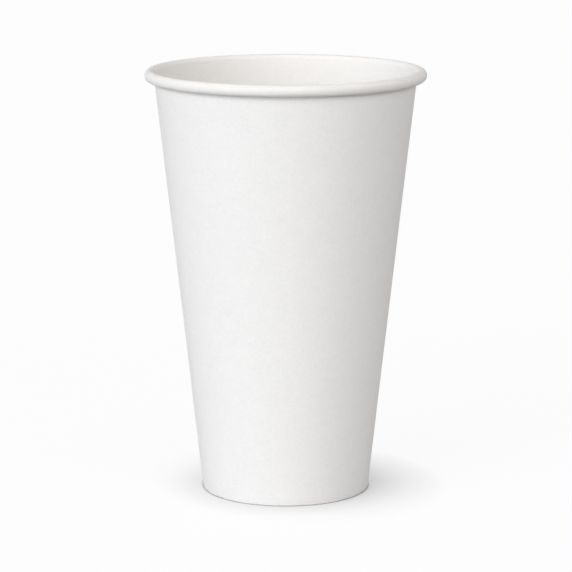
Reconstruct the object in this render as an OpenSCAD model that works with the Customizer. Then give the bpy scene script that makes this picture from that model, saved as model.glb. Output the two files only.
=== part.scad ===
// Single-wall paper coffee cup: a wrapped sidewall with a lapped side seam, a rolled rim and a
// turned-in foot, and a recessed base whose skirt is held in the fold of the foot.
// The cup stands on z = 0, with its axis on Z.

/* [Cup] */
// Outer diameter of the rolled rim
rim_d = 90; // [84:0.5:98]
// Outer diameter of the foot
foot_d = 53.7; // [48:0.1:60]
// Height from the foot to the top of the rim
cup_h = 136.5; // [90:0.5:170]

/* [Board] */
// Thickness of the sidewall's board
wall_t = 0.4; // [0.3:0.02:0.5]
// Thickness of the base's board
base_t = 0.3; // [0.2:0.02:0.5]
// Room for the melted coating between two sealed layers
seal_gap = 0.02; // [0.01:0.01:0.04]

/* [Rolled rim] */
// Width of the roll, square to the wall
curl_w = 3.45; // [3.1:0.05:3.7]
// Height of the roll, along the wall
curl_h = 3.55; // [3.3:0.05:5]
// Clearance between the wall and the edge that comes back to it
curl_gap = 0.06; // [0.04:0.01:0.15]
// Inner radius of the end that is tucked into the roll
tuck_in_r = 0.25; // [0.15:0.05:0.3]
// Angle through which the tucked end turns
tuck_turn = 84; // [24:12:96]

/* [Foot and base] */
// Height of the hem that is turned in behind the base's skirt
hem_h = 6.6; // [4:0.1:6.8]
// Depth of the recess under the base
recess_h = 8.2; // [8:0.1:14]
// How far the fold of the foot is pressed flat
foot_press = 0.1; // [0.05:0.01:0.14]
// Inner radius of the bend between the base and its skirt
base_bend_r = 0.5; // [0.3:0.05:0.7]
// Clearance between the skirt's edge and the fold below it
skirt_gap = 0.3; // [0.2:0.05:1]

/* [Side seam] */
// Direction of the outer layer's cut edge, anticlockwise from +X
seam_at = 167; // [20:1:350]
// Width of the lap at the rim
lap_w = 8; // [5:0.5:12]
// Width at the rim over which the outer layer climbs onto the inner one
climb_w = 9; // [6:0.5:12]

/* [Hidden] */
$fn = 180;

// Angle between two points of a bend
arc_step = 12;
// How far the climbing wall lies inside the faces of what it runs into
climb_inset = 0.02;
// How far it runs in: degrees on each side, and mm at the foot and the roll
climb_bite = 0.2;
// Degrees by which each sector runs into the next one
sector_bite = 0.05;

// The fold of the foot wraps the skirt's edge: its radii inside and outside, and its centre
fold_in_r = base_t / 2 + seal_gap;
fold_out_r = fold_in_r + wall_t;
fold_c = [foot_d / 2 - fold_out_r, fold_out_r - foot_press];

// The roll's top bend, whose outer face carries on from the cup's inner face
curl_r = curl_w / 2;
curl_c = [rim_d / 2 - curl_r, cup_h - curl_r];
curl_drop = curl_h - curl_r;
tuck_r = tuck_in_r + 2 * wall_t;

// The wall is the straight line that touches the fold on one side and the roll on the other
span = curl_c - fold_c;
wall_offset = curl_r - wall_t + fold_out_r;
wall_angle = atan2(span.x, span.y) - asin(wall_offset / norm(span));
wall_len = sqrt(span * span - wall_offset * wall_offset);
across = [cos(wall_angle), -sin(wall_angle)];
along = [sin(wall_angle), cos(wall_angle)];
hem_len = (hem_h - fold_c.y) / along.y;

// The bend between the base and its skirt
base_bend_out_r = base_bend_r + base_t;
base_bend_in = base_bend_r + base_t / 2;
base_bend_up = (recess_h - base_bend_r - fold_c.y + base_bend_in * across.y) / along.y;
base_bend_c = fold_c - base_bend_in * across + base_bend_up * along;

// Directions of the seam's edges, rounded so that its sectors meet exactly
function turn_of(width) = round(100 * width / (PI * rim_d) * 360) / 100;
lap_end = seam_at + turn_of(lap_w);
climb_end = lap_end + turn_of(climb_w);

// Where the climb begins and ends along the wall: just above the fold and just under the roll
climb_low = 2 * fold_out_r;
climb_high = wall_len - curl_drop - fold_out_r;

function polar(r, angle) = r * [cos(angle), sin(angle)];

function arc(centre, r, from, to) =
    let (steps = ceil(abs(to - from) / arc_step))
    [for (i = [0:steps]) centre + polar(r, from + (to - from) * i / steps)];

function reversed(list) = [for (i = [len(list) - 1:-1:0]) list[i]];

// Point of the wall in section: depth is how far it lies behind the cup's inner face, and up its
// distance along the wall from the fold
function wall_point(depth, up) = fold_c + (fold_in_r + depth) * across + up * along;

// One face of the board from the hem's edge round the fold, which is pressed flat at z = 0
function foot_face(depth) = [
    for (p = concat(
        [fold_c - (fold_in_r + depth) * across + hem_len * along],
        arc(fold_c, fold_in_r + depth, 180 - wall_angle, 360 - wall_angle)
    )) [p.x, max(p.y, 0)]
];

// One face of the board round the roll, where all the layers together are stack thick
function roll_face(depth, stack) =
    let (
        back_r = (curl_w - stack - curl_gap) / 2,
        back_c = curl_c + (curl_r - back_r) * across - (curl_drop - back_r) * along,
        tuck_c = back_c - (back_r - tuck_r) * across,
        back = -180 - wall_angle
    )
    concat(
        arc(curl_c, curl_r - depth, 180 - wall_angle, -wall_angle),
        arc(back_c, back_r - depth, -wall_angle, back),
        arc(tuck_c, tuck_r - depth, back, back - tuck_turn)
    );

// Outline between two faces, each a list of points that runs from the foot to the rim
function between(inner, outer) = concat(inner, reversed(outer));

module sector(from, to, outline)
    rotate_extrude(angle = to - from + sector_bite, start = from)
        polygon(outline);

// Part of the sidewall where its section stays the same
module board(from, to, layers) {
    stack = layers * wall_t;
    sector(from, to, between(
        concat(foot_face(0), roll_face(0, stack)),
        concat(foot_face(stack), roll_face(stack, stack))
    ));
}

// The sidewall beside the inner layer's cut edge, where the outer layer eases down to the cup's
// inner face. The foot and the roll carry on, and the wall between them is turned about an axis
// set aside from the cup's, so that its face rises by one thickness from one end to the other.
module climb() {
    middle = (lap_end + climb_end) / 2;
    mean_r = (rim_d + foot_d) / 4;
    aside = wall_t / 2 / sin((climb_end - lap_end) / 2);
    wider = wall_t / 2 + aside * aside / 2 / mean_r;
    low = climb_low - climb_bite;
    high = climb_high + climb_bite;
    wall = between(
        [wall_point(climb_inset, low), wall_point(climb_inset, high)],
        [wall_point(wall_t - climb_inset, low), wall_point(wall_t - climb_inset, high)]
    );
    sector(lap_end, climb_end, between(
        concat(foot_face(0), [wall_point(0, climb_low)]),
        concat(foot_face(wall_t), [wall_point(wall_t, climb_low)])
    ));
    sector(lap_end, climb_end, between(
        concat([wall_point(0, climb_high)], roll_face(0, wall_t)),
        concat([wall_point(wall_t, climb_high)], roll_face(wall_t, wall_t))
    ));
    intersection() {
        rotate(middle) translate([0, -aside, 0])
            rotate_extrude()
                polygon([for (p = wall) p + [wider, 0]]);
        sector(lap_end - climb_bite, climb_end + climb_bite,
            [[foot_d / 4, 0], [rim_d, 0], [rim_d, cup_h], [foot_d / 4, cup_h]]);
    }
}

module sidewall() color([0.95, 0.95, 0.94]) {
    board(climb_end, seam_at + 360, 1);
    board(seam_at, lap_end, 2);
    climb();
}

// Flat base with a skirt turned down all round, which stands between the wall and the hem
module base() color([0.93, 0.92, 0.9]) {
    skirt_in = fold_c - base_t / 2 * across + skirt_gap * along;
    skirt_out = skirt_in + base_t * across;
    rotate_extrude()
        polygon(concat(
            [[0, recess_h], [0, recess_h + base_t]],
            arc(base_bend_c, base_bend_out_r, 90, -wall_angle),
            [skirt_out, skirt_in],
            arc(base_bend_c, base_bend_r, -wall_angle, 90)
        ));
}

sidewall();
base();
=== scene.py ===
"""Looks of the paper coffee cup: a wrapped blank with a rolled rim, and a base disc.

Lengths are written in millimetres and angles in degrees in the classes, and reach Blender in
metres and radians. The cup stands on z = 0, with its axis on Z.
"""

import logging
import math
from dataclasses import dataclass, field
from enum import Enum
from typing import Dict, List, Sequence, Tuple, Union

import bpy
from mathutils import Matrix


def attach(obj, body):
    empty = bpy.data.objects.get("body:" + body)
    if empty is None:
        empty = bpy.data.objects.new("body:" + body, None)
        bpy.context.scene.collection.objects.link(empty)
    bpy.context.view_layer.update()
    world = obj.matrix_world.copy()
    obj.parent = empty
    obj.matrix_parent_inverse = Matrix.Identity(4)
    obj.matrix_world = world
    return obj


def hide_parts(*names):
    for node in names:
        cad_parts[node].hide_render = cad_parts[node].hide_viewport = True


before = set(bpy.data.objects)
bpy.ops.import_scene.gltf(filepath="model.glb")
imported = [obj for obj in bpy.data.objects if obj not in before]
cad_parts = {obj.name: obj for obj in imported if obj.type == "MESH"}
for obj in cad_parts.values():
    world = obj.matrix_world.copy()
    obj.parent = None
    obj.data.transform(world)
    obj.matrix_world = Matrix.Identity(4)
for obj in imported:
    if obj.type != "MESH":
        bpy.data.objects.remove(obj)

Value = Union[float, bpy.types.NodeSocket]
Colour = Tuple[float, float, float]
MM = 0.001
# A face's middle lies past this only where the face closes an end of the one-metre flat block
BLOCK_END = 0.4999
LOG = logging.getLogger("cup")


class Face(Enum):
    """The faces of a sheet of board, with the material input of each in the node trees."""

    LINING = "Lining"
    OUTSIDE = "Outside"
    CUT = "Cut edge"


class Formula:
    """Writes arithmetic as nodes of one node tree, for shapes and finishes alike."""

    def __init__(self, tree: bpy.types.NodeTree) -> None:
        """Args: tree: the node tree that takes the nodes."""
        self.tree = tree

    def node(self, kind: str, **settings: object) -> bpy.types.Node:
        """Adds one node.

        Args:
            kind: the node's Blender type.
            settings: properties to set on the node.

        Returns:
            The new node.
        """
        node = self.tree.nodes.new(kind)
        for name, value in settings.items():
            setattr(node, name, value)
        return node

    def wire(self, socket: bpy.types.NodeSocket, value: object) -> None:
        """Feeds an input socket.

        Args:
            socket: the input.
            value: another node's output, or a constant.
        """
        if isinstance(value, bpy.types.NodeSocket):
            self.tree.links.new(value, socket)
        else:
            socket.default_value = value

    def math(self, operation: str, *values: Value, clamp: bool = False) -> bpy.types.NodeSocket:
        """Adds one Math node.

        Args:
            operation: the node's operation.
            values: its operands.
            clamp: True to hold the result between 0 and 1.

        Returns:
            The result.
        """
        node = self.node("ShaderNodeMath", operation=operation, use_clamp=clamp)
        for socket, value in zip(node.inputs, values):
            self.wire(socket, value)
        return node.outputs[0]

    def add(self, *values: Value) -> Value:
        """Returns the sum of the values."""
        total = values[0]
        for value in values[1:]:
            total = self.math("ADD", total, value)
        return total

    def less(self, a: Value, b: Value) -> Value:
        """Returns a - b."""
        return self.math("SUBTRACT", a, b)

    def times(self, *values: Value) -> Value:
        """Returns the product of the values."""
        total = values[0]
        for value in values[1:]:
            total = self.math("MULTIPLY", total, value)
        return total

    def sine(self, angle: Value) -> Value:
        """Returns the sine of an angle in radians."""
        return self.math("SINE", angle)

    def cosine(self, angle: Value) -> Value:
        """Returns the cosine of an angle in radians."""
        return self.math("COSINE", angle)

    def ease(self, value: Value, start: Value, end: Value) -> Value:
        """Returns a smooth step from 0 at start to 1 at end."""
        node = self.node("ShaderNodeMapRange", interpolation_type="SMOOTHSTEP")
        for name, part in (("Value", value), ("From Min", start), ("From Max", end)):
            self.wire(node.inputs[name], part)
        return node.outputs["Result"]

    def vector(self, x: Value, y: Value, z: Value) -> Value:
        """Returns a vector made of three numbers."""
        node = self.node("ShaderNodeCombineXYZ")
        for socket, value in zip(node.inputs, (x, y, z)):
            self.wire(socket, value)
        return node.outputs[0]

    def noise(self, where: Value, size: float, seed: float = 0.0, detail: float = 2.0,
              roughness: float = 0.5) -> bpy.types.NodeSocket:
        """Adds a seeded noise with values about 0.5.

        Args:
            where: the point that the noise is read at.
            size: the width of its blotches, in the unit of where.
            seed: the slice of the noise that is used.
            detail: how many finer layers are added.
            roughness: how strong the finer layers are.

        Returns:
            The noise as a number.
        """
        node = self.node("ShaderNodeTexNoise", noise_dimensions="4D")
        self.wire(node.inputs["Vector"], where)
        self.wire(node.inputs["W"], seed)
        self.wire(node.inputs["Scale"], 1.0 / size)
        self.wire(node.inputs["Detail"], detail)
        self.wire(node.inputs["Roughness"], roughness)
        return node.outputs[0]


@dataclass(frozen=True)
class BoardFinish:
    """One face of the paperboard: tint, cloudy mottle and felt-like fibre relief."""

    name: str
    tint: Colour = (0.87, 0.862, 0.85)
    cloud: float = 0.02
    cloud_size: float = 4.5
    fleck: float = 0.058
    fleck_size: float = 0.75
    relief: float = 0.058
    relief_size: float = 0.95
    fibre_relief: float = 0.022
    fibre_size: float = 0.28
    roughness: float = 0.82
    roughness_spread: float = 0.1
    gloss: float = 0.15
    seed: float = 1.0

    def material(self) -> bpy.types.Material:
        """Builds the node material.

        Returns:
            The material.
        """
        material = bpy.data.materials.new(self.name)
        material.use_nodes = True
        tree = material.node_tree
        tree.nodes.clear()
        f = Formula(tree)
        place = f.node("ShaderNodeTexCoord").outputs["Object"]
        clouds = f.noise(place, self.cloud_size * MM, self.seed, 3.0, 0.55)
        flecks = f.noise(place, self.fleck_size * MM, self.seed + 7.0, 2.0, 0.6)
        felt = f.noise(place, self.relief_size * MM, self.seed + 13.0, 3.0, 0.6)
        fibres = self.fibres(f, place)
        shade = f.add(
            1.0,
            f.times(f.less(clouds, 0.5), 2.0 * self.cloud),
            f.times(f.less(flecks, 0.5), 2.0 * self.fleck),
            f.times(f.less(fibres, 0.5), self.fleck),
        )
        tint = f.node("ShaderNodeVectorMath", operation="SCALE")
        tint.inputs[0].default_value = self.tint
        f.wire(tint.inputs["Scale"], shade)
        height = f.add(
            f.times(felt, self.relief), f.times(fibres, self.fibre_relief),
            f.times(clouds, self.relief),
        )
        bump = f.node("ShaderNodeBump")
        bump.inputs["Strength"].default_value = 1.0
        bump.inputs["Distance"].default_value = MM
        f.wire(bump.inputs["Height"], height)
        paper = f.node("ShaderNodeBsdfPrincipled")
        f.wire(paper.inputs["Base Color"], tint.outputs[0])
        rough = f.add(self.roughness, f.times(f.less(felt, 0.5), 2.0 * self.roughness_spread))
        f.wire(paper.inputs["Roughness"], rough)
        f.wire(paper.inputs["Normal"], bump.outputs[0])
        paper.inputs["Specular IOR Level"].default_value = self.gloss
        out = f.node("ShaderNodeOutputMaterial")
        f.wire(out.inputs["Surface"], paper.outputs[0])
        return material

    def fibres(self, f: Formula, place: Value) -> Value:
        """Draws single fibres as noise that is stretched two ways.

        Args:
            f: the material's formula writer.
            place: the point on the piece.

        Returns:
            A number about 0.5 that rises on fibres.
        """
        layers = []
        for turn, seed in ((0.6, 21.0), (-0.9, 34.0)):
            lay = f.node("ShaderNodeMapping")
            f.wire(lay.inputs["Vector"], place)
            lay.inputs["Rotation"].default_value = (0.0, turn, 0.4 * turn)
            lay.inputs["Scale"].default_value = (0.25, 0.25, 1.0)
            layers.append(f.noise(lay.outputs[0], self.fibre_size * MM, self.seed + seed, 1.0))
        return f.times(f.add(*layers), 0.5)


@dataclass(frozen=True)
class CutEdgeFinish:
    """The board's cut edge: bare fibre in fine plies, with no coating."""

    name: str = "cut_edge_of_board"
    tint: Colour = (0.84, 0.815, 0.77)
    ply: float = 0.08
    ply_size: float = 0.12
    relief: float = 0.02
    roughness: float = 0.95
    gloss: float = 0.2
    seed: float = 5.0

    def material(self) -> bpy.types.Material:
        """Builds the node material.

        Returns:
            The material.
        """
        material = bpy.data.materials.new(self.name)
        material.use_nodes = True
        tree = material.node_tree
        tree.nodes.clear()
        f = Formula(tree)
        place = f.node("ShaderNodeTexCoord").outputs["Object"]
        plies = f.noise(place, self.ply_size * MM, self.seed, 2.0, 0.7)
        tint = f.node("ShaderNodeVectorMath", operation="SCALE")
        tint.inputs[0].default_value = self.tint
        f.wire(tint.inputs["Scale"], f.add(1.0, f.times(f.less(plies, 0.5), 2.0 * self.ply)))
        bump = f.node("ShaderNodeBump")
        bump.inputs["Strength"].default_value = 1.0
        bump.inputs["Distance"].default_value = MM
        f.wire(bump.inputs["Height"], f.times(plies, self.relief))
        paper = f.node("ShaderNodeBsdfPrincipled")
        f.wire(paper.inputs["Base Color"], tint.outputs[0])
        paper.inputs["Roughness"].default_value = self.roughness
        paper.inputs["Specular IOR Level"].default_value = self.gloss
        f.wire(paper.inputs["Normal"], bump.outputs[0])
        out = f.node("ShaderNodeOutputMaterial")
        f.wire(out.inputs["Surface"], paper.outputs[0])
        return material


OUTSIDE_FINISH = BoardFinish("outside_of_board")
LINING_FINISH = BoardFinish(
    "lining_of_board", tint=(0.855, 0.84, 0.82), relief=0.03, fibre_relief=0.01,
    roughness=0.7, gloss=0.12, seed=2.0,
)
UNDERSIDE_FINISH = BoardFinish("underside_of_base", tint=(0.85, 0.84, 0.82), seed=3.0)
BASE_LINING_FINISH = BoardFinish(
    "lining_of_base", tint=(0.855, 0.84, 0.82), relief=0.03, fibre_relief=0.01,
    roughness=0.7, gloss=0.12, seed=4.0,
)
CUT_FINISH = CutEdgeFinish()


@dataclass(frozen=True)
class Run:
    """One stretch of the sheet's path in section."""

    name: str
    rows: int


class SheetTree:
    """A Geometry Nodes tree that bends one flat sheet with two faces into a shape.

    The sheet starts as a block of one layer: x counts its columns, y its rows, and z tells its
    two faces apart.
    """

    def __init__(self, name: str, sizes: Dict[str, float], columns: int,
                 runs: Sequence[Run], disc: bool = False) -> None:
        """Starts the tree with its inputs and the flat sheet.

        Args:
            name: the tree's name.
            sizes: its named inputs and their values.
            columns: how many columns of faces the sheet has.
            runs: the stretches of its path, each with its rows.
            disc: whether the first row is a disc's centre, and the first and last columns
                meet, so that none of them needs a cut edge.
        """
        self.sizes = sizes
        self.columns = columns
        self.runs = runs
        self.rows = sum(run.rows for run in runs)
        self.tree = bpy.data.node_groups.new(name, "GeometryNodeTree")
        face = self.tree.interface
        face.new_socket("Geometry", in_out="OUTPUT", socket_type="NodeSocketGeometry")
        for size in sizes:
            face.new_socket(size, in_out="INPUT", socket_type="NodeSocketFloat")
        for kind in Face:
            face.new_socket(kind.value, in_out="INPUT", socket_type="NodeSocketMaterial")
        self.f = Formula(self.tree)
        self.inputs = self.f.node("NodeGroupInput").outputs
        block = self.f.node("GeometryNodeMeshCube")
        block.inputs["Size"].default_value = (1.0, 1.0, 1.0)
        block.inputs["Vertices X"].default_value = columns + 1
        block.inputs["Vertices Y"].default_value = self.rows + 1
        block.inputs["Vertices Z"].default_value = 2
        split = self.f.node("ShaderNodeSeparateXYZ")
        self.f.wire(split.inputs[0], self.f.node("GeometryNodeInputPosition").outputs[0])
        self.across = self.f.add(split.outputs["X"], 0.5)
        self.row = self.f.times(self.f.add(split.outputs["Y"], 0.5), float(self.rows))
        self.through = self.f.add(split.outputs["Z"], 0.5)
        flat = block.outputs["Mesh"]
        if disc:
            side = self.f.math("ABSOLUTE", split.outputs["X"])
            ends = self.f.math("GREATER_THAN", side, BLOCK_END)
            centre = self.f.math("LESS_THAN", split.outputs["Y"], -BLOCK_END)
            strip = self.f.node("GeometryNodeDeleteGeometry", domain="FACE")
            self.f.wire(strip.inputs["Geometry"], flat)
            self.f.wire(strip.inputs["Selection"], self.f.math("MAXIMUM", ends, centre))
            flat = strip.outputs["Geometry"]
        store = self.f.node("GeometryNodeStoreNamedAttribute", data_type="FLOAT", domain="FACE")
        self.f.wire(store.inputs["Geometry"], flat)
        store.inputs["Name"].default_value = "through"
        self.f.wire(store.inputs["Value"], self.through)
        self.sheet = store.outputs["Geometry"]

    def size(self, name: str) -> Value:
        """Returns the socket of a named input."""
        return self.inputs[name]

    def progress(self, name: str) -> Value:
        """Tells how far along one run a row lies.

        Args:
            name: the run's name.

        Returns:
            0 before the run, 1 after it, and rising evenly within it.
        """
        start = 0
        for run in self.runs:
            if run.name == name:
                step = self.f.less(self.row, float(start))
                return self.f.math("MULTIPLY", step, 1.0 / run.rows, clamp=True)
            start += run.rows
        raise KeyError(name)

    def bend(self, name: str, radius: Value, start: Value, turn: Value) -> Tuple[Value, Value]:
        """Moves along an arc as one run goes by.

        Args:
            name: the run's name.
            radius: the arc's radius, in metres.
            start: the direction from its centre to its first point, in radians.
            turn: the angle that it turns through, positive anticlockwise.

        Returns:
            The steps outward and upward from the arc's first point.
        """
        f = self.f
        angle = f.add(start, f.times(turn, self.progress(name)))
        out = f.times(radius, f.less(f.cosine(angle), f.cosine(start)))
        up = f.times(radius, f.less(f.sine(angle), f.sine(start)))
        return out, up

    def line(self, name: str, length: Value, heading: Value) -> Tuple[Value, Value]:
        """Moves along a straight line as one run goes by.

        Args:
            name: the run's name.
            length: the line's length, in metres.
            heading: its direction, in radians from outward towards up.

        Returns:
            The steps outward and upward from the line's first point.
        """
        f = self.f
        step = f.times(length, self.progress(name))
        return f.times(step, f.cosine(heading)), f.times(step, f.sine(heading))

    def place(self, theta: Value, r: Value, z: Value) -> None:
        """Moves every point of the sheet to its angle, radius and height."""
        f = self.f
        move = f.node("GeometryNodeSetPosition")
        f.wire(move.inputs["Geometry"], self.sheet)
        spot = f.vector(f.times(r, f.cosine(theta)), f.times(r, f.sine(theta)), z)
        f.wire(move.inputs["Position"], spot)
        self.sheet = move.outputs["Geometry"]

    def close(self, weld: float) -> None:
        """Ends the tree: welds what meets, shades it smooth and gives each face its material.

        Args:
            weld: points nearer to each other than this are joined, in metres; 0 joins none.
        """
        f = self.f
        if weld:
            merge = f.node("GeometryNodeMergeByDistance")
            f.wire(merge.inputs["Geometry"], self.sheet)
            merge.inputs["Distance"].default_value = weld
            self.sheet = merge.outputs["Geometry"]
        smooth = f.node("GeometryNodeSetShadeSmooth")
        f.wire(smooth.inputs["Geometry"], self.sheet)
        real = f.node("GeometryNodeRealizeInstances")
        f.wire(real.inputs[0], smooth.outputs[0])
        self.sheet = real.outputs[0]
        side = f.node("GeometryNodeInputNamedAttribute", data_type="FLOAT")
        side.inputs["Name"].default_value = "through"
        read = side.outputs["Attribute"]
        inner = f.math("LESS_THAN", read, 0.25)
        outer = f.math("GREATER_THAN", read, 0.75)
        for face, chosen in ((Face.CUT, True), (Face.LINING, inner), (Face.OUTSIDE, outer)):
            dress = f.node("GeometryNodeSetMaterial")
            f.wire(dress.inputs["Geometry"], self.sheet)
            f.wire(dress.inputs["Selection"], chosen)
            f.wire(dress.inputs["Material"], self.size(face.value))
            self.sheet = dress.outputs["Geometry"]
        f.wire(f.node("NodeGroupOutput").inputs[0], self.sheet)

    def mesh(self, name: str, dress: Dict[Face, bpy.types.Material]) -> bpy.types.Object:
        """Runs the tree and keeps its result as a plain mesh.

        Args:
            name: the name of the new object.
            dress: the material of each face.

        Returns:
            The object, at the origin.
        """
        seed_mesh = bpy.data.meshes.new(name + "_blank")
        blank = bpy.data.objects.new(name + "_blank", seed_mesh)
        bpy.context.scene.collection.objects.link(blank)
        modifier = blank.modifiers.new("shape", "NODES")
        modifier.node_group = self.tree
        named = {face.value: material for face, material in dress.items()}
        for item in self.tree.interface.items_tree:
            if item.in_out == "INPUT":
                modifier[item.identifier] = {**self.sizes, **named}[item.name]
        graph = bpy.context.evaluated_depsgraph_get()
        mesh = bpy.data.meshes.new_from_object(
            blank.evaluated_get(graph), preserve_all_data_layers=True, depsgraph=graph)
        blank.modifiers.remove(modifier)
        bpy.data.objects.remove(blank)
        mesh.name = name
        slots = list(mesh.materials)
        worn = [material for material in slots if material]
        numbers = [worn.index(slots[polygon.material_index]) for polygon in mesh.polygons]
        mesh.materials.clear()
        for material in worn:
            mesh.materials.append(material)
        mesh.polygons.foreach_set("material_index", numbers)
        mesh.set_sharp_from_angle(angle=math.radians(50))
        piece = bpy.data.objects.new(name, mesh)
        bpy.context.scene.collection.objects.link(piece)
        return piece


@dataclass
class Section:
    """The sizes that the blank and the base share, in millimetres and degrees."""

    rim_radius: float = 44.98
    foot_radius: float = 26.85
    height: float = 136.5
    board: float = 0.4
    base_board: float = 0.3
    seal_gap: float = 0.02
    roll_width: float = 3.45
    roll_height: float = 3.55
    foot_press: float = 0.1

    @property
    def fold_inside(self) -> float:
        """Radius of the foot's fold on its inside."""
        return self.base_board / 2 + self.seal_gap

    @property
    def fold_centre(self) -> Tuple[float, float]:
        """Centre of the foot's fold: radius and height."""
        outside = self.fold_inside + self.board
        return self.foot_radius - outside, outside - self.foot_press

    @property
    def roll_centre(self) -> Tuple[float, float]:
        """Centre of the roll's top bend: radius and height."""
        return self.rim_radius - self.roll_width / 2, self.height - self.roll_width / 2

    @property
    def lean(self) -> float:
        """How far the wall leans outwards, in radians."""
        span = [b - a for a, b in zip(self.fold_centre, self.roll_centre)]
        offset = self.roll_width / 2 + self.fold_inside
        return math.atan2(*span) - math.asin(offset / math.hypot(*span))

    @property
    def wall_length(self) -> float:
        """Length of the straight wall between the fold and the roll."""
        span = math.dist(self.fold_centre, self.roll_centre)
        return math.sqrt(span ** 2 - (self.roll_width / 2 + self.fold_inside) ** 2)


@dataclass
class WrappedBlank:
    """The sidewall: one blank wrapped to a cone, lapped, rolled at its top and hemmed below.

    Lengths are in millimetres and angles in degrees, but cover_ease is in radians. skive and
    crimp_depth are shares of the board, and sway_size and sag_size parts of a unit ring.
    """

    section: Section = field(default_factory=Section)
    roll_gap: float = 0.06
    roll_oval: float = 0.8
    tuck_radius: float = 1.05
    tuck_turn: float = 84.0
    hem_height: float = 6.6
    seam_at: float = 167.0
    lap_width: float = 8.0
    climb_width: float = 9.0
    skive_width: float = 3.0
    skive: float = 0.7
    lap_gap: float = 0.01
    crimps: float = 72.0
    crimp_depth: float = 0.175
    cover_ease: float = 0.035
    sway: float = 0.12
    sway_size: float = 0.55
    sway_rise: float = 14.0
    sway_from: Tuple[float, float] = (12.0, 45.0)
    rim_sag: float = 0.06
    sag_size: float = 0.8
    sag_from: Tuple[float, float] = (90.0, 134.0)
    seed: float = 4.0
    columns: int = 396
    runs: Tuple[Run, ...] = (
        Run("hem", 5), Run("fold", 10), Run("wall", 40), Run("crown", 18),
        Run("side", 1), Run("back", 16), Run("tuck", 9),
    )

    def sizes(self) -> Dict[str, float]:
        """Gives the tree's named inputs, in metres and radians.

        Returns:
            Each input's name and value.
        """
        s = self.section
        rim_turn = 1.0 / s.rim_radius
        hem = (self.hem_height - s.fold_centre[1]) / math.cos(s.lean)
        return {
            "Board": s.board * MM,
            "Fold inside": s.fold_inside * MM,
            "Fold centre radius": s.fold_centre[0] * MM,
            "Fold centre height": s.fold_centre[1] * MM,
            "Lean": s.lean,
            "Hem length": hem * MM,
            "Wall length": s.wall_length * MM,
            "Roll radius": s.roll_width / 2 * MM,
            "Roll drop": (s.roll_height - s.roll_width / 2) * MM,
            "Roll room": (s.roll_width - self.roll_gap) / 2 * MM,
            "Oval": self.roll_oval,
            "Tuck radius": self.tuck_radius * MM,
            "Tuck turn": math.radians(self.tuck_turn),
            "Seam angle": math.radians(self.seam_at),
            "Lap": self.lap_width * rim_turn,
            "Climb": self.climb_width * rim_turn,
            "Skive width": self.skive_width * rim_turn,
            "Skive": self.skive,
            "Lap gap": self.lap_gap * MM,
            "Crimps": self.crimps,
            "Crimp depth": self.crimp_depth,
            "Sway": self.sway * MM,
            "Rim sag": self.rim_sag * MM,
            "Seed": self.seed,
        }

    def tree(self) -> SheetTree:
        """Writes the blank's shape as nodes.

        Returns:
            The finished tree.
        """
        t = SheetTree("wrapped_blank", self.sizes(), self.columns, self.runs)
        f, size = t.f, t.size
        around = f.times(t.across, f.add(2.0 * math.pi, size("Lap")))
        theta = f.add(size("Seam angle"), around)
        climb_end = f.add(size("Lap"), size("Climb"))
        sheet_end = f.add(2.0 * math.pi, size("Lap"))
        settled = f.less(1.0, f.ease(around, size("Lap"), climb_end))
        raised = f.times(self.skived(t, around, size("Lap")), settled)
        thinned = self.skived(t, around, sheet_end)
        under = f.ease(around, 2.0 * math.pi - self.cover_ease, 2.0 * math.pi)
        covered = f.times(under, f.add(f.times(size("Board"), thinned), size("Lap gap")))
        lift = f.add(f.times(size("Board"), raised), f.times(size("Lap gap"), settled))
        stack = f.add(size("Board"), f.math("MAXIMUM", lift, covered))
        board = f.times(self.crimped(t, theta), thinned)
        r, z = self.path(t, f.add(f.times(t.through, board), lift), stack)
        r, z = self.loosen(t, theta, r, z)
        t.place(theta, r, z)
        t.close(0.0)
        return t

    def skived(self, t: SheetTree, around: Value, edge: Value) -> Value:
        """Thins the inner layer towards its cut edge, so that it leaves no step in the cup.

        Args:
            t: the tree.
            around: the angle from the outer layer's cut edge.
            edge: where the inner layer's cut edge lies, as the same kind of angle.

        Returns:
            1 away from the edge, and what is left of the board's thickness at it.
        """
        f, size = t.f, t.size
        near = f.ease(around, f.less(edge, size("Skive width")), edge)
        return f.less(1.0, f.times(size("Skive"), near))

    def crimped(self, t: SheetTree, theta: Value) -> Value:
        """Thins the board in fine upright ribs where the hem is crimped onto the skirt.

        Args:
            t: the tree.
            theta: the angle round the cup.

        Returns:
            The board's thickness.
        """
        f, size = t.f, t.size
        hem_rows = float(self.runs[0].rows)
        on_hem = f.less(1.0, f.ease(t.row, hem_rows - 0.8, hem_rows))
        off_edge = f.ease(t.row, 0.0, 1.2)
        wave = f.cosine(f.times(theta, size("Crimps")))
        groove = f.math("POWER", f.add(0.5, f.times(0.5, wave)), 2.0)
        dent = f.times(size("Crimp depth"), groove, on_hem, off_edge)
        return f.times(size("Board"), f.less(1.0, dent))

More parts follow.
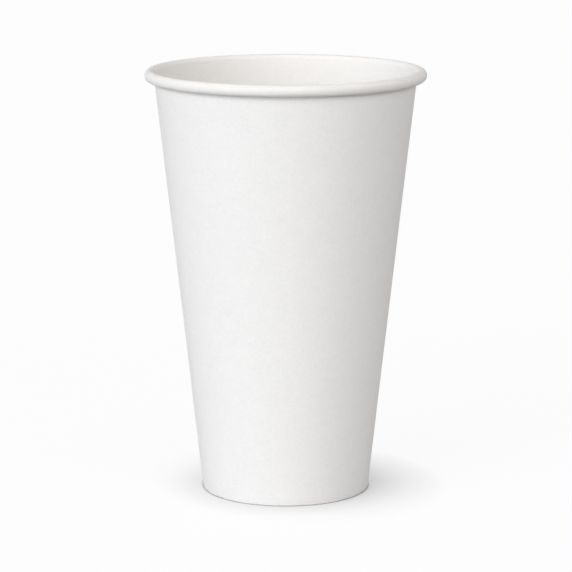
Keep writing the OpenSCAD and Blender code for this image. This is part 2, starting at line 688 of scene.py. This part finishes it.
    def path(self, t: SheetTree, depth: Value, stack: Value) -> Tuple[Value, Value]:
        """Follows the section from the hem's edge round the fold and up to the tuck.

        Args:
            t: the tree.
            depth: how far a point lies behind the cup's inner face.
            stack: the thickness of all layers together at that place.

        Returns:
            The radius and height of the point, with the foot pressed flat.
        """
        f, size = t.f, t.size
        lean = size("Lean")
        up = f.less(math.pi / 2, lean)
        back = f.less(math.pi, lean)
        fold = f.add(size("Fold inside"), depth)
        roll = f.less(size("Roll radius"), depth)
        room = f.less(size("Roll room"), f.times(stack, 0.5))
        stretch = f.less(f.math("DIVIDE", size("Roll drop"), room), 1.0)
        back_out, back_up = t.bend("back", f.less(room, depth), f.times(lean, -1.0), -math.pi)
        hem = size("Hem length")
        hem_edge = (
            f.add(size("Fold centre radius"), f.times(fold, f.cosine(back)),
                  f.times(hem, f.cosine(up))),
            f.add(size("Fold centre height"), f.times(fold, f.sine(back)),
                  f.times(hem, f.sine(up))),
        )
        straight = f.times(f.less(room, size("Roll drop")), f.less(1.0, size("Oval")))
        tuck_turn = f.times(size("Tuck turn"), -1.0)
        steps = [
            hem_edge,
            t.line("hem", f.times(hem, -1.0), up),
            t.bend("fold", fold, back, math.pi),
            t.line("wall", size("Wall length"), up),
            t.bend("crown", roll, back, -math.pi),
            t.line("side", straight, up),
            (back_out, f.times(back_up, f.add(1.0, f.times(size("Oval"), stretch)))),
            t.bend("tuck", f.less(size("Tuck radius"), depth), back, tuck_turn),
        ]
        r = f.add(*[step[0] for step in steps])
        z = f.add(*[step[1] for step in steps])
        floor = f.less(size("Fold centre height"), size("Fold inside"))
        shelf = f.times(floor, f.less(1.0, f.math("DIVIDE", depth, stack)))
        return r, f.math("MAXIMUM", z, shelf)

    def loosen(self, t: SheetTree, theta: Value, r: Value, z: Value) -> Tuple[Value, Value]:
        """Gives the wall and the rim the slight unevenness of formed board, inwards only.

        Args:
            t: the tree.
            theta: the angle round the cup.
            r: the radius of the point.
            z: its height.

        Returns:
            The new radius and height.
        """
        f, size = t.f, t.size
        ring = f.vector(f.cosine(theta), f.sine(theta), f.times(z, self.sway_rise))
        wander = f.noise(ring, self.sway_size, size("Seed"), 1.0)
        free = f.ease(z, *[height * MM for height in self.sway_from])
        r = f.less(r, f.times(size("Sway"), wander, free))
        ring = f.vector(f.cosine(theta), f.sine(theta), 0.0)
        level = f.noise(ring, self.sag_size, f.add(size("Seed"), 9.0), 1.0)
        high = f.ease(z, *[height * MM for height in self.sag_from])
        return r, f.less(z, f.times(size("Rim sag"), level, high))

    def build(self) -> bpy.types.Object:
        """Makes the sidewall and dresses its faces.

        Returns:
            The piece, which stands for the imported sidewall.
        """
        piece = self.tree().mesh("wrapped_sidewall", {
            Face.LINING: LINING_FINISH.material(),
            Face.OUTSIDE: OUTSIDE_FINISH.material(),
            Face.CUT: CUT_FINISH.material(),
        })
        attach(piece, "root")
        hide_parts("sidewall")
        return piece


@dataclass
class BaseDisc:
    """The base: a disc set in above the foot, with its edge drawn down into a skirt.

    Lengths are in millimetres; dip is a share of the bow, and pucker_drift is in radians.
    """

    section: Section = field(default_factory=Section)
    recess: float = 8.2
    bend_radius: float = 0.5
    skirt_gap: float = 0.3
    bow: float = 0.25
    dip: float = 0.6
    dip_size: float = 16.0
    puckers: float = 48.0
    pucker_depth: float = 0.03
    pucker_reach: float = 3.0
    pucker_drift: float = 9.0
    drift_size: float = 12.0
    weld: float = 0.001
    seed: float = 6.0
    columns: int = 288
    runs: Tuple[Run, ...] = (Run("disc", 26), Run("bend", 10), Run("skirt", 8))

    def sizes(self) -> Dict[str, float]:
        """Gives the tree's named inputs, in metres and radians.

        Returns:
            Each input's name and value.
        """
        s = self.section
        middle = self.bend_radius + s.base_board / 2
        across = (math.cos(s.lean), -math.sin(s.lean))
        along = (math.sin(s.lean), math.cos(s.lean))
        rise = (self.recess - self.bend_radius - s.fold_centre[1] + middle * across[1]) / along[1]
        centre = [c - middle * a + rise * b for c, a, b in zip(s.fold_centre, across, along)]
        return {
            "Board": s.base_board * MM,
            "Underside height": self.recess * MM,
            "Bend centre radius": centre[0] * MM,
            "Bend inside": self.bend_radius * MM,
            "Lean": s.lean,
            "Skirt length": (rise - self.skirt_gap) * MM,
            "Bow": self.bow * MM,
            "Puckers": self.puckers,
            "Pucker depth": self.pucker_depth * MM,
            "Seed": self.seed,
        }

    def tree(self) -> SheetTree:
        """Writes the base's shape as nodes.

        Returns:
            The finished tree.
        """
        t = SheetTree("base_disc", self.sizes(), self.columns, self.runs, disc=True)
        f, size = t.f, t.size
        theta = f.times(t.across, -2.0 * math.pi)
        bend = f.add(size("Bend inside"), f.times(t.through, size("Board")))
        steps = [
            t.line("disc", size("Bend centre radius"), 0.0),
            t.bend("bend", bend, math.pi / 2, f.times(f.add(math.pi / 2, size("Lean")), -1.0)),
            t.line("skirt", f.times(size("Skirt length"), -1.0), f.less(math.pi / 2, size("Lean"))),
        ]
        r = f.add(*[step[0] for step in steps])
        z = f.add(size("Underside height"), f.times(t.through, size("Board")),
                  *[step[1] for step in steps])
        disc_edge = size("Bend centre radius")
        inside = f.less(1.0, f.math("DIVIDE", r, disc_edge, clamp=True))
        bowed = f.times(size("Bow"), f.ease(inside, 0.0, 0.9))
        ring = f.vector(f.times(r, f.cosine(theta)), f.times(r, f.sine(theta)), 0.0)
        dips = f.less(f.noise(ring, self.dip_size * MM, size("Seed"), 1.0), 0.5)
        uneven = f.times(size("Bow"), self.dip, dips, f.ease(inside, 0.0, 0.25))
        z = f.less(f.less(z, bowed), uneven)
        near_bend = f.ease(r, f.less(disc_edge, self.pucker_reach * MM), disc_edge)
        fade = f.less(1.0, t.progress("skirt"))
        drift = f.noise(ring, self.drift_size * MM, f.add(size("Seed"), 3.0), 1.0)
        wave = f.cosine(f.add(f.times(theta, size("Puckers")), f.times(self.pucker_drift, drift)))
        pucker = f.times(size("Pucker depth"), f.add(0.5, f.times(0.5, wave)), near_bend, fade)
        z = f.less(z, pucker)
        t.place(theta, r, z)
        t.close(self.weld * MM)
        return t

    def build(self) -> bpy.types.Object:
        """Makes the base and dresses its faces.

        Returns:
            The piece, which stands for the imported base.
        """
        piece = self.tree().mesh("recessed_base", {
            Face.LINING: UNDERSIDE_FINISH.material(),
            Face.OUTSIDE: BASE_LINING_FINISH.material(),
            Face.CUT: CUT_FINISH.material(),
        })
        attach(piece, "root")
        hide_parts("base")
        return piece


@dataclass
class Studio:
    """A pale floor, a soft box overhead, a soft wall of light all round, one key lamp, a camera.

    Directions are azimuths, anticlockwise from +X. The two bands give heights on the unit sphere.
    floor_half is in metres; reaches and the camera's place are in millimetres.
    """

    overhead: float = 0.97
    wall: float = 1.375
    wall_swing: float = 1.1
    wall_towards: float = -81.0
    wall_band: Tuple[float, float, float, float] = (0.1, 0.3, 0.5, 0.7)
    overhead_from: Tuple[float, float] = (0.8, 0.95)
    sky_tint: Colour = (1.0, 0.977, 0.965)
    key_strength: float = 1.68
    key_tint: Colour = (0.907, 0.953, 1.0)
    key_azimuth: float = -135.0
    key_elevation: float = 13.5
    key_angle: float = 50.0
    floor_half: float = 6.0
    floor_tint: float = 0.5
    floor_seen: float = 0.1
    floor_glow: float = 0.9
    # Amount and reach of each ring of painted contact shadow on the floor's glow
    line_shade: float = 0.55
    line_reach: float = 0.9
    close_shade: float = 0.2
    close_reach: float = 14.0
    side_shade: float = 0.4
    side_reach: float = 26.0
    side_from: float = -140.0
    backdrop: float = 0.982
    lens: float = 174.72
    camera_at: Tuple[float, float, float] = (0.1, -879.7, 237.96)
    camera_pitch: float = 11.054

    def seen(self, f: Formula) -> Value:
        """Tells the rays that show the background from those that light the cup.

        Args:
            f: the formula writer of a material or the world.

        Returns:
            1 for camera, mirror and glass rays, 0 for the others.
        """
        path = f.node("ShaderNodeLightPath")
        looks = [path.outputs[n] for n in ("Is Camera Ray", "Is Glossy Ray", "Is Transmission Ray")]
        return f.math("MAXIMUM", f.math("MAXIMUM", looks[0], looks[1]), looks[2])

    def light(self) -> None:
        """Sets the world and the key lamp."""
        world = bpy.data.worlds.new("studio_sky")
        bpy.context.scene.world = world
        world.use_nodes = True
        world.node_tree.nodes.clear()
        f = Formula(world.node_tree)
        sky = f.node("ShaderNodeBackground")
        sky.inputs["Color"].default_value = (*self.sky_tint, 1.0)
        f.wire(sky.inputs["Strength"], self.sky(f))
        back = f.node("ShaderNodeBackground")
        back.inputs["Color"].default_value = (1.0, 1.0, 1.0, 1.0)
        back.inputs["Strength"].default_value = self.backdrop
        mix = f.node("ShaderNodeMixShader")
        f.wire(mix.inputs[0], self.seen(f))
        f.wire(mix.inputs[1], sky.outputs[0])
        f.wire(mix.inputs[2], back.outputs[0])
        f.wire(f.node("ShaderNodeOutputWorld").inputs["Surface"], mix.outputs[0])
        lamp = bpy.data.lights.new("key", "SUN")
        lamp.energy = self.key_strength
        lamp.color = self.key_tint
        lamp.angle = math.radians(self.key_angle)
        key = bpy.data.objects.new("key", lamp)
        tilt = math.radians(90.0 - self.key_elevation)
        key.rotation_euler = (tilt, 0.0, math.radians(self.key_azimuth + 90.0))
        bpy.context.scene.collection.objects.link(key)

    def sky(self, f: Formula) -> Value:
        """Draws how bright the studio is in each direction.

        Args:
            f: the world's formula writer.

        Returns:
            The brightness in the direction that is looked at.
        """
        split = f.node("ShaderNodeSeparateXYZ")
        f.wire(split.inputs[0], f.node("ShaderNodeTexCoord").outputs["Generated"])
        x, y, rise = split.outputs
        level = f.math("SQRT", f.add(f.times(x, x), f.times(y, y), 1e-6))
        turn = math.radians(self.wall_towards)
        along = f.add(f.times(x, math.cos(turn)), f.times(y, math.sin(turn)))
        facing = f.math("DIVIDE", along, level)
        low, full, fading, gone = self.wall_band
        band = f.times(f.ease(rise, low, full), f.less(1.0, f.ease(rise, fading, gone)))
        wall = f.times(band, f.add(self.wall, f.times(facing, self.wall_swing)))
        return f.add(wall, f.times(self.overhead, f.ease(rise, *self.overhead_from)))

    def shade(self, f: Formula) -> Value:
        """Paints the cup's contact shadow into the floor's glow, short all round and longer away
        from the key lamp.

        Args:
            f: the floor's formula writer.

        Returns:
            How brightly the open floor glows at a point, less the painted contact shadow.
        """
        turn = math.radians(self.side_from)
        tilted = (math.cos(turn) * math.sqrt(0.5), math.sin(turn) * math.sqrt(0.5), math.sqrt(0.5))
        upright = (0.0, 0.0, 1.0)
        lost = []
        for amount, reach, normal in ((self.line_shade, self.line_reach, upright),
                                      (self.close_shade, self.close_reach, upright),
                                      (self.side_shade, self.side_reach, tilted)):
            # Each ambient occlusion ring takes glow away near the cup: painted shadow, not cast by
            # any lamp
            near = f.node("ShaderNodeAmbientOcclusion", samples=8)
            near.inputs["Distance"].default_value = reach * MM
            f.wire(near.inputs["Normal"], f.vector(*normal))
            lost.append(f.times(amount, f.less(1.0, near.outputs["AO"])))
        return f.less(self.floor_glow, f.add(*lost))

    def floor(self) -> bpy.types.Object:
        """Lays the floor, whose open ground shows as the pale background.

        Returns:
            The floor.
        """
        half = self.floor_half
        mesh = bpy.data.meshes.new("floor")
        corners = [(-half, -half, 0.0), (half, -half, 0.0), (half, half, 0.0), (-half, half, 0.0)]
        mesh.from_pydata(corners, [], [(0, 1, 2, 3)])
        ground = bpy.data.objects.new("floor", mesh)
        bpy.context.scene.collection.objects.link(ground)
        material = bpy.data.materials.new("pale_floor")
        material.use_nodes = True
        material.node_tree.nodes.clear()
        f = Formula(material.node_tree)
        plain = f.node("ShaderNodeBsdfDiffuse")
        plain.inputs["Color"].default_value = (self.floor_tint,) * 3 + (1.0,)
        shown = f.node("ShaderNodeBsdfDiffuse")
        shown.inputs["Color"].default_value = (self.floor_seen,) * 3 + (1.0,)
        glow = f.node("ShaderNodeEmission")
        # The glow's strength carries the painted contact shadow around the cup
        f.wire(glow.inputs["Strength"], self.shade(f))
        lift = f.node("ShaderNodeAddShader")
        f.wire(lift.inputs[0], shown.outputs[0])
        f.wire(lift.inputs[1], glow.outputs[0])
        mix = f.node("ShaderNodeMixShader")
        f.wire(mix.inputs[0], self.seen(f))
        f.wire(mix.inputs[1], plain.outputs[0])
        f.wire(mix.inputs[2], lift.outputs[0])
        f.wire(f.node("ShaderNodeOutputMaterial").inputs["Surface"], mix.outputs[0])
        mesh.materials.append(material)
        return ground

    def camera(self) -> bpy.types.Object:
        """Sets up the camera at the photograph's angle.

        Returns:
            The camera.
        """
        data = bpy.data.cameras.new("camera")
        data.lens = self.lens
        data.sensor_width = 36.0
        data.sensor_fit = "HORIZONTAL"
        data.clip_start = 0.05
        data.clip_end = 30.0
        camera = bpy.data.objects.new("camera", data)
        camera.location = [c * MM for c in self.camera_at]
        camera.rotation_euler = (math.radians(90.0 - self.camera_pitch), 0.0, 0.0)
        bpy.context.scene.collection.objects.link(camera)
        bpy.context.scene.camera = camera
        return camera


def main() -> None:
    """Builds the studio and the cup's pieces, and logs each piece's faces and materials."""
    logging.basicConfig(level=logging.INFO, format="%(message)s")
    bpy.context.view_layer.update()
    scene = bpy.context.scene
    scene.view_settings.view_transform = "Standard"
    studio = Studio()
    studio.camera()
    studio.light()
    studio.floor()
    section = Section()
    for maker in (WrappedBlank(section), BaseDisc(section)):
        piece = maker.build()
        LOG.info("%s: %d faces, %s", piece.name, len(piece.data.polygons),
                 ", ".join(m.name for m in piece.data.materials))


if __name__ == "__main__":
    main()
